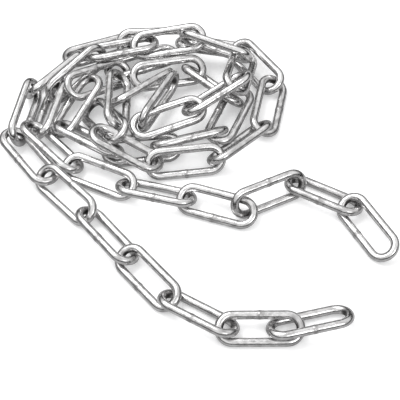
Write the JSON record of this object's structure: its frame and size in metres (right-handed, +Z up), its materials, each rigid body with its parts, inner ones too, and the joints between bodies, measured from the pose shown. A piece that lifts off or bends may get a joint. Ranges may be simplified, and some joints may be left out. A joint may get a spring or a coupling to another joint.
{
  "type": "heap of steel chain",
  "caption": "Loose flat heap of bright steel long-link chain lying on a level floor, one run curled round and over itself with a second run across and on top of it.",
  "frame": {"origin": "middle of the heap's outline seen from above, at the floor it lies on", "axes": "+Z up from the floor; +X to the right and +Y away from the viewer, as in the picture"},
  "size_m": [0.1888, 0.1874, 0.0264],
  "materials": {
    "steel": "bright bare steel, smooth drawn wire"
  },
  "bodies": {
    "root": {"outer_run_link_01": "steel", "outer_run_link_02": "steel", "outer_run_link_03": "steel", "outer_run_link_04": "steel", "outer_run_link_05": "steel", "outer_run_link_06": "steel", "outer_run_link_07": "steel", "outer_run_link_08": "steel", "outer_run_link_09": "steel", "outer_run_link_10": "steel", "outer_run_link_11": "steel", "outer_run_link_12": "steel", "outer_run_link_13": "steel", "outer_run_link_14": "steel", "outer_run_link_15": "steel", "outer_run_link_16": "steel", "outer_run_link_17": "steel", "outer_run_link_18": "steel", "outer_run_link_19": "steel", "outer_run_link_20": "steel", "outer_run_link_21": "steel", "outer_run_link_22": "steel", "outer_run_link_23": "steel", "outer_run_link_24": "steel", "outer_run_link_25": "steel", "outer_run_link_26": "steel", "outer_run_link_27": "steel", "outer_run_link_28": "steel", "outer_run_link_29": "steel", "inner_run_link_01": "steel", "inner_run_link_02": "steel", "inner_run_link_03": "steel", "inner_run_link_04": "steel", "inner_run_link_05": "steel", "inner_run_link_06": "steel", "inner_run_link_07": "steel", "inner_run_link_08": "steel", "inner_run_link_09": "steel", "inner_run_link_10": "steel", "inner_run_link_11": "steel", "inner_run_link_12": "steel", "inner_run_link_13": "steel", "inner_run_link_14": "steel", "inner_run_link_15": "steel", "inner_run_link_16": "steel"}
  },
  "joints": []
}
